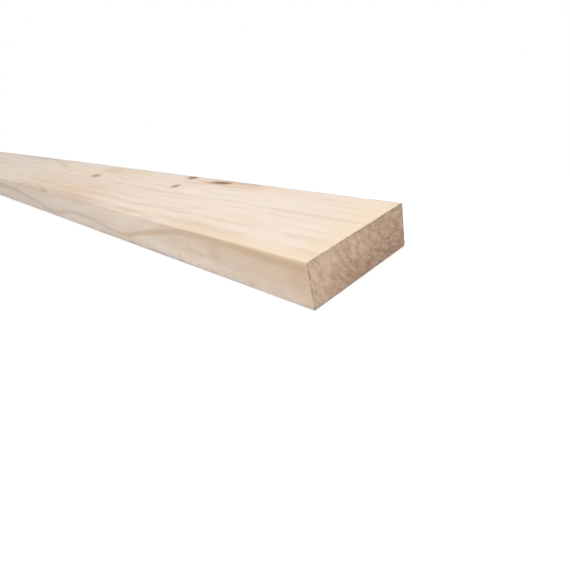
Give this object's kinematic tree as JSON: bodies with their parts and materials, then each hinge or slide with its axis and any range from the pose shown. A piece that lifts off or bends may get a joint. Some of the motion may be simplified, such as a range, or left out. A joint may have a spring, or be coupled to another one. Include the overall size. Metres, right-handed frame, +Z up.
{
  "type": "timber lumber plank",
  "caption": "Planed pine plank of flat rectangular section with eased long edges and square saw-cut ends, building timber to be cut, nailed or screwed.",
  "frame": {"origin": "on the floor, below the middle of the plank as it lies on a wide face", "axes": "+X along the length and the grain, towards the end that the picture shows; +Y across the width; +Z up through the thickness"},
  "size_m": [1.8, 0.114, 0.038],
  "materials": {
    "wood": "planed, bare wood"
  },
  "bodies": {
    "root": {"plank": "wood"}
  },
  "joints": []
}
